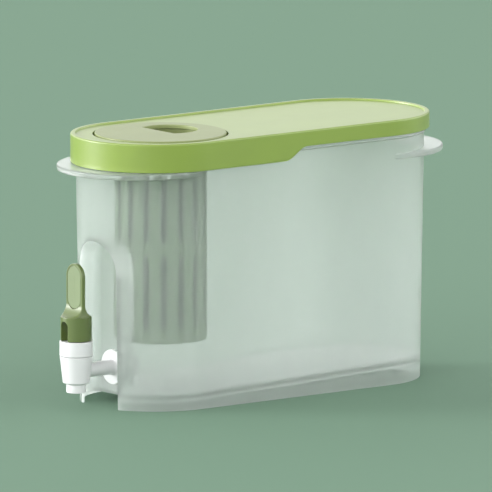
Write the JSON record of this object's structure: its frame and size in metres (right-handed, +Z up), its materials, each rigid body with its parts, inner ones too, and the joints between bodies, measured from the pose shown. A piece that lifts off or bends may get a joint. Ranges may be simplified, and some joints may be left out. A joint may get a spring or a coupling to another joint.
{
  "type": "fridge drinks dispenser",
  "caption": "Long translucent drinks dispenser with a green lid, a round filler cap over an infuser basket, and a self-closing tap in an arched recess.",
  "frame": {"origin": "on the ground, under the middle of the object's box", "axes": "+Z up; the tap faces -Y and the tank is long along Y; X is across"},
  "size_m": [0.122, 0.3316, 0.195],
  "materials": {
    "frosted_pp": "frosted translucent polypropylene",
    "lid_green": "satin moulded",
    "cap_sage": "satin moulded",
    "basket_sage": "satin moulded",
    "tap_white": "semi-gloss moulded",
    "lever_green": "satin moulded",
    "silicone": "soft translucent silicone",
    "spring_steel": "drawn stainless wire"
  },
  "bodies": {
    "dispenser": {"tank": "frosted_pp", "tap_body": "tap_white", "tap_bonnet": "tap_white", "bonnet_seal": "silicone", "outer_washer": "silicone", "inner_washer": "silicone", "lock_nut": "tap_white", "stem_o_ring": "silicone", "valve_spring": "spring_steel"},
    "lid": {"lid": "lid_green", "lid_gasket": "silicone"},
    "infuser": {"infuser_basket": "basket_sage"},
    "cap": {"cap_top": "cap_sage", "cap_core": "cap_sage", "cap_gasket": "silicone"},
    "plunger": {"valve_plunger": "tap_white", "valve_cup": "silicone"},
    "lever": {"tap_lever": "lever_green", "lever_thumb_pad": "lever_green", "lever_pin": "spring_steel"}
  },
  "joints": [
    {"name": "lid_lift", "type": "slide", "parent": "dispenser", "child": "lid", "axis": [0, 0, 1], "range_m": [0, 0.16]},
    {"name": "infuser_lift", "type": "slide", "parent": "lid", "child": "infuser", "axis": [0, 0, 1], "range_m": [0, 0.155]},
    {"name": "cap_turn", "type": "hinge", "parent": "infuser", "child": "cap", "pos_m": [0, -0.0772, 0.19], "axis": [0, 0, 1], "range_deg": [0, 45]},
    {"name": "plunger_lift", "type": "slide", "parent": "dispenser", "child": "plunger", "axis": [0, 0, 1], "range_m": [0, 0.0045], "deforming": ["valve_spring"]},
    {"name": "lever_tilt", "type": "hinge", "parent": "plunger", "child": "lever", "pos_m": [0, -0.1538, 0.0585], "axis": [1, 0, 0], "range_deg": [0, 25]}
  ],
  "couplings": [
    {"joint": "plunger_lift", "follows": "lever_tilt", "m_per_rad": 0.0098}
  ]
}
